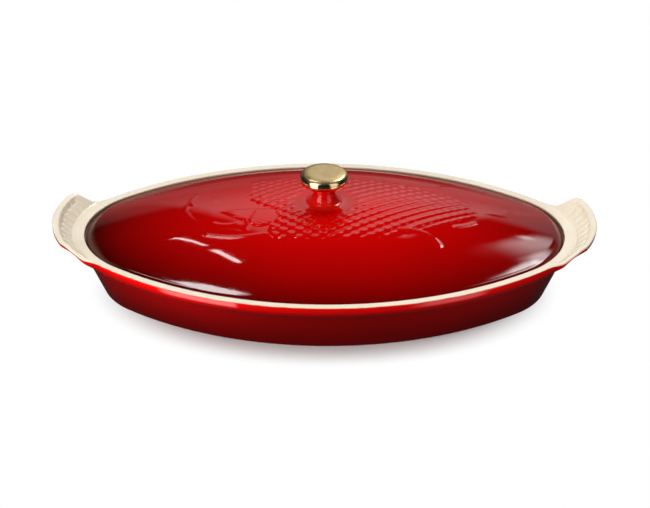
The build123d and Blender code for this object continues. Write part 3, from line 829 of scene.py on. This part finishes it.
# Painted shade and light on the dish's red: the wall darkens to the foot, the band lightens towards
# its top.
FOOT_SHADE_RED, WALL_SHADE_RED = shade(104, 1, 2), shade(126, 2, 3)
BAND_SHADE_RED, BAND_LIT_RED = shade(124, 2, 3), shade(208, 5, 4)
CREAM, CREAM_CLOUD, CREAM_THIN = shade(236, 224, 203), shade(232, 218, 194), shade(214, 194, 164)
# The edge brown is painted reflection and shade, the seat brown painted shade.
EDGE_REFLECTION_AND_SHADE, SEAT_SHADE_BROWN, SPECK = shade(108, 70, 58), shade(104, 70, 52), shade(176, 150, 118)
BARE_CLAY = shade(205, 190, 165)


def glaze(name, red_colour, has_dull_shaded_edge):
    """Red and cream glaze on one piece.

    The line between them wanders a little, and beside it both run thin. Painted shade darkens
    the gallery wall under the rim brown, and the foot is bare clay. On the dull shaded edge the
    glaze is duller and mirrors less."""
    material, output = new_tree(name)
    side = stored("cream_side") + (noise(90, 3) - 0.5) * 0.9
    red = blend(fade(side, -1.1, 0.1, 0.0, 0.55), red_colour(), RED_THIN)
    cream = blend(fade(noise(38, 4), 0.35, 0.7), CREAM, CREAM_CLOUD)
    cream = blend(fade(side, 0.9, 0.1), cream, CREAM_THIN)
    cream = blend(fade(noise(900, 1), 0.735, 0.765, 0.0, 0.45), cream, SPECK)
    cream = blend(stored("seat_shade") * 0.8, cream, SEAT_SHADE_BROWN)
    bare = stored("bare_foot")
    colour = blend(bare, blend(fade(side, -0.16, 0.16), red, cream), BARE_CLAY)
    ripple = noise(45, 1) + noise(420, 2) * 0.05
    rough, mirroring = fade(noise(160, 3), 0.3, 0.7, 0.025, 0.045) + bare * 0.6, 0.5
    if has_dull_shaded_edge:
        edge = stored("dull_shaded_edge")
        rough = rough + edge * 0.6
        mirroring = maths("SUBTRACT", mirroring, edge * 0.4)
    surface(output, Base_Color=colour, Roughness=rough, Specular_IOR_Level=mirroring, IOR=1.5,
            Normal=bump(ripple, 0.0009, 0.07))
    return material


def dish_red():
    """Darker down the wall towards the foot, as painted shade, with slow clouds of tone. The band
    under the rim is brighter towards its top, as painted light."""
    height = stored("height")
    wall = blend(fade(height + noise(30, 2) * 8.0, 4.0, 36.0), FOOT_SHADE_RED, WALL_SHADE_RED)
    band = blend(fade(height, 35.5, 46.0), BAND_SHADE_RED, BAND_LIT_RED)
    return blend(fade(height, 35.2, 37.6), wall, band)


def lid_red():
    """Bright in the middle, deeper towards the edge, a little lighter on the fish where the glaze
    runs thin. Painted light lightens the neck's flare and the far half, painted shade darkens
    the tips, and the brown on the dull shaded edge is painted reflection and shade."""
    base = blend(stored("tone") + (noise(22, 2) - 0.5) * 0.08, RED_BRIGHT, RED_DEEP)
    base = blend(fade(stored("raised"), 0.4, 2.2, 0.0, 0.34), base, RED_THIN)
    return blend(stored("dull_shaded_edge"), base, EDGE_REFLECTION_AND_SHADE)


dish.data.materials.append(glaze("glaze_dish", dish_red, has_dull_shaded_edge=False))
lid.data.materials.append(glaze("glaze_lid", lid_red, has_dull_shaded_edge=True))
print("glazes:", dish.data.materials[0].name, "and", lid.data.materials[0].name)

# %% [markdown]
# ## Metal and rubber
#
# The knob is plated in a gold tone. A fine wheel leaves circles on its top and shoulder, and
# the side below is smoother. The circles are noise along one number, the distance from the
# knob's axis, so they close round it. The hidden fixing of steel and pale silicone keeps its
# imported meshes.

# %% Metal and rubber
GOLD, GOLD_CLOUD, GOLD_RING = shade(242, 214, 160), shade(234, 202, 144), shade(204, 174, 122)
STEEL, STEEL_SMUDGE = shade(206, 205, 203), shade(182, 181, 179)
SILICONE, SILICONE_CLOUD = shade(222, 216, 204), shade(208, 200, 186)
RINGS_PER_METRE = 5200.0


def knob_metal():
    """Gold-toned metal: circles of fine brushing on the top and its shoulder, a smoother side."""
    material, output = new_tree("knob_gold")
    across, back, up = coordinates()
    radius = maths("SQRT", across * across + back * back)
    on_top = fade(up, 0.0985, 0.1002) * fade(radius, 0.0192, 0.018)
    fine = node("TexNoise", {"W": radius * RINGS_PER_METRE, "Scale": 1.0, "Detail": 3.0}, "Fac",
                noise_dimensions="1D")
    colour = blend(fade(noise(120, 3), 0.3, 0.7), GOLD, GOLD_CLOUD)
    colour = blend(on_top * fade(fine, 0.35, 0.65, 0.0, 0.25), colour, GOLD_RING)
    rough = fade(noise(300, 3), 0.3, 0.7, 0.12, 0.17) + on_top * fade(fine, 0.3, 0.7, 0.14, 0.26)
    surface(output, Base_Color=colour, Metallic=1.0, Roughness=rough,
            Normal=bump(fine * on_top, 0.00004, 0.5))
    return material


def fixing_steel():
    """Turned stainless steel with a fine grain and a few darker smudges."""
    material, output = new_tree("fixing_steel")
    surface(output, Base_Color=blend(fade(noise(260, 4), 0.35, 0.7), STEEL, STEEL_SMUDGE),
            Metallic=1.0, Roughness=fade(noise(900, 2), 0.3, 0.7, 0.22, 0.36),
            Normal=bump(noise(1500, 2), 0.00003, 0.4))
    return material


def pale_rubber():
    """Soft pale silicone: matt, with a slight cloudiness and a fine moulded grain."""
    material, output = new_tree("pale_silicone")
    surface(output, Base_Color=blend(fade(noise(200, 3), 0.3, 0.7), SILICONE, SILICONE_CLOUD),
            Roughness=0.62, Normal=bump(noise(2400, 2), 0.00004, 0.5))
    return material


knob.data.materials.append(knob_metal())
steel, rubber = fixing_steel(), pale_rubber()
for name, material in (("knob_insert", steel), ("steel_washer", steel), ("knob_screw", steel),
                       ("knob_gasket", rubber), ("lid_seal_washer", rubber)):
    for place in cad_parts[name].material_slots:
        place.material = material
    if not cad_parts[name].material_slots:
        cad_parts[name].data.materials.append(material)
print("materials:", ", ".join(sorted(m.name for m in bpy.data.materials if m.users)))

# %% [markdown]
# ## The floor
#
# The photograph has a white sweep with hardly any shadow. So the floor is pale paper close
# round the dish, where its soft shadow falls, and pure white outside an oval. Reflections see
# another floor: dark, with a bright card in front to either side and a faint glow far behind.
# They draw the light shapes low on the glaze and the knob.

# %% Floor
SHADOW_HALF_LENGTH, SHADOW_HALF_WIDTH, SHADOW_MIDDLE = 0.175, 0.1185, -0.006
# The paper's pink tint is painted red light bounced from the dish.
BOUNCE_TINTED_PAPER, BOUNCE_TINTED_CLOUD = (0.92, 0.86, 0.86), (0.94, 0.88, 0.88)
# Side (-1 left, 1 right), strength and softness of the inner edge of each card.
FLOOR_CARDS = [(-1, 4.5, 0.004), (1, 1.5, 0.02)]

floor_mesh = bpy.data.meshes.new("floor_sheet")
floor_mesh.from_pydata([(-9, -9, 0), (9, -9, 0), (9, 9, 0), (-9, 9, 0)], [], [(0, 1, 2, 3)])
floor = new_object("floor_sheet", floor_mesh)
material, output = new_tree("floor_paper")
floor_x, floor_y = coordinates()[:2]
reach_x = floor_x / SHADOW_HALF_LENGTH
reach_y = (floor_y - SHADOW_MIDDLE) / SHADOW_HALF_WIDTH
reach = maths("SQRT", reach_x * reach_x + reach_y * reach_y)
paper = node("BsdfDiffuse", {"Color": blend(fade(noise(60, 4), 0.3, 0.7), BOUNCE_TINTED_PAPER, BOUNCE_TINTED_CLOUD)})
lit = node("MixShader", {0: fade(reach, 0.8, 1.1), 1: paper, 2: node("Emission", {})})

# Each card is cut by two slanting lines, and starts and ends at a reach.
mirrored = fade(floor_y, 0.35, 0.9) * fade(floor_x, -0.15, 0.1, 0.1, 0.22) + 0.03
ring = fade(reach, 1.15, 1.4) * fade(reach, 7.0, 5.0)
for side, strength, soft in FLOOR_CARDS:
    away = floor_x * side
    inner, outer_side = away + floor_y * 0.55, away * -0.51 - floor_y
    card = fade(inner, 0.004, 0.004 + 2 * soft) * fade(outer_side, 0.02, 0.04) * ring
    mirrored = mirrored + card * strength
camera_sees(output, lit, node("Emission", {"Color": (1.0, 0.85, 0.85), "Strength": mirrored}))
floor_mesh.materials.append(material)
print("floor: white beyond", SHADOW_HALF_LENGTH, "x", SHADOW_HALF_WIDTH, "m")

# %% [markdown]
# ## The light
#
# The camera sees a white background. Reflections see a dim studio, painted as shapes in the
# world's light. Sheets behind and two boxes in front stand on walls one metre away, which a
# direction (x, y, z) meets at x/y and z/y. Strip lamps hang on a ceiling one metre up, which
# it meets at x/z and y/z. Three strips to the left and four to the right draw the streaks on
# the lid, and the sheets behind lay the pale veil over its far half. Three soft lamps, which
# the glaze doesn't mirror, light the colours evenly.

# %% Directions of the world's light
world = bpy.data.worlds.new("studio")
bpy.context.scene.world = world
world.use_nodes = True
tree = world.node_tree
tree.nodes.clear()
output = tree.nodes.new("ShaderNodeOutputWorld")
ray_across, ray_back, ray_up = coordinates("Generated")
above = maths("MAXIMUM", ray_up, 0.04)
ceiling_u, ceiling_v = ray_across / above, ray_back / above
back = maths("MAXIMUM", ray_back, 0.04)
back_x, back_z = ray_across / back, ray_up / back
front = maths("MAXIMUM", ray_back * -1.0, 0.04)
front_x, front_z = ray_across / front, ray_up / front
is_up = fade(ray_up, 0.05, 0.12)
is_behind, is_front = fade(ray_back, 0.05, 0.15), fade(ray_back, -0.05, -0.15)
print(len(tree.nodes), "nodes place a direction on the ceiling and the walls")


# %% Sheets behind and boxes in front
def panel(across, up, low_side, high_side, bottom, top, soft):
    """An upright sheet: its sides and ends as x/y and z/y of a direction, soft all round."""
    return (fade(across, low_side - soft, low_side + soft)
            * fade(across, high_side + soft, high_side - soft)
            * fade(up, bottom - soft, bottom + soft) * fade(up, top + 2 * soft, top - 2 * soft))


main_sheet = (panel(back_x, back_z, -0.235, 0.25, -1, 1.27, 0.02)
              * fade(back_z, 0.1, 0.72, 0.17, 0.9) * fade(back_x, -0.05, 0.16, 1.0, 1.75))
right_sheet = (panel(back_x, back_z, 0.25, 0.75, -1, 0.47, 0.03)
               * fade(back_z, 0.0, 0.4, 0.31, 0.46))
left_sheet = panel(back_x, back_z, -0.9, -0.235, -1, 0.35, 0.03) * 0.13
left_box = panel(front_x, front_z, -2.4, -0.577, -0.1, 1.6, 0.04) * 4.2
right_box = panel(front_x, front_z, 0.6, 2.4, -0.1, 1.6, 0.1) * 1.3
light = (is_behind * (main_sheet + right_sheet + left_sheet)
         + is_front * (left_box + right_box) + 0.012)
print("three sheets behind, two boxes in front")

# %% Strip lamps
# Centre, half size and blur on the ceiling as (across, back), then strength and slant.
LEFT_STRIPS = [((-0.362, 0.792), (0.004, 0.088), (0.004, 0.02), 16.0, -0.473),
               ((-0.269, 0.545), (0.005, 0.075), (0.004, 0.02), 16.0, -0.367),
               ((-0.388, 0.32), (0.05, 0.115), (0.008, 0.03), 17.0, -0.946)]
RIGHT_STRIPS = [((0.604, 0.61), (0.14, 0.17), (0.024, 0.19), 14.0, 0.3),
                ((0.721, 1.02), (0.155, 0.02), (0.03, 0.4), 7.5, 0.3),
                ((0.613, 1.4), (0.02, 0.1), (0.06, 0.7), 3.6, 0.3),
                ((0.6, 1.53), (0.004, 0.01), (0.03, 0.14), 4.0, 0.3)]


def strip_lamp(centre, half_size, blur, strength, slant):
    """A lamp on the ceiling: its strength inside a slanting box, fading over the blur outside."""
    v = ceiling_v - centre[1]
    u = ceiling_u - (v * slant + centre[0])
    in_u = fade(maths("ABSOLUTE", u), half_size[0] + blur[0], half_size[0])
    in_v = fade(maths("ABSOLUTE", v), half_size[1] + blur[1], half_size[1])
    return in_u * in_v * is_up * strength


for strip in LEFT_STRIPS + RIGHT_STRIPS:
    light = light + strip_lamp(*strip)
camera_sees(output, node("Background", {"Color": (1, 1, 1)}),
            node("Background", {"Strength": light}))
print(f"{len(LEFT_STRIPS)} strips on the left, {len(RIGHT_STRIPS)} on the right")


# %% Soft lamps
def area_lamp(name, place, aim, size, power):
    """A square soft lamp that looks at a point and doesn't show in the glaze."""
    data = bpy.data.lights.new(name, "AREA")
    data.shape, data.size, data.energy = "SQUARE", size, power
    lamp = new_object(name, data)
    lamp.location = place
    lamp.rotation_euler = (Vector(aim) - Vector(place)).to_track_quat("-Z", "Y").to_euler()
    lamp.visible_glossy = False
    print(f"{name}: {size} m wide, {power} W")


area_lamp("overhead", (-0.25, 0.7, 1.75), (0, 0, 0), 1.8, 20)
area_lamp("right_fill", (1.8, -0.8, 0.12), (0.15, 0, 0.03), 0.8, 3)
area_lamp("front_fill", (-0.8, -2.2, 0.65), (0, 0, 0.03), 1.2, 26)

# %% [markdown]
# ## The camera
#
# The camera looks down 28.5 degrees with a long lens from 2.4 metres away, so lines that run
# back hardly draw together. It aims just above the middle of the dish.

# %% Camera
TILT, TURN, DISTANCE = math.radians(28.5), -0.018, 2.42
AIM_ASIDE, AIM_HEIGHT = 0.0006, 0.0271

target = Vector((AIM_ASIDE * math.cos(TURN), -AIM_ASIDE * math.sin(TURN), AIM_HEIGHT))
forward = Vector((math.sin(TURN) * math.cos(TILT), math.cos(TURN) * math.cos(TILT),
                  -math.sin(TILT)))
lens_data = bpy.data.cameras.new("photo_camera")
lens_data.lens = 165.9
lens_data.sensor_width = 36.0
lens_data.clip_end = 30.0
camera = new_object("photo_camera", lens_data)
camera.location = target - forward * DISTANCE
camera.rotation_euler = forward.to_track_quat("-Z", "Y").to_euler()
bpy.context.scene.camera = camera
bpy.context.scene.view_settings.view_transform = "Standard"
print("camera at", [round(c, 3) for c in camera.location], "m")
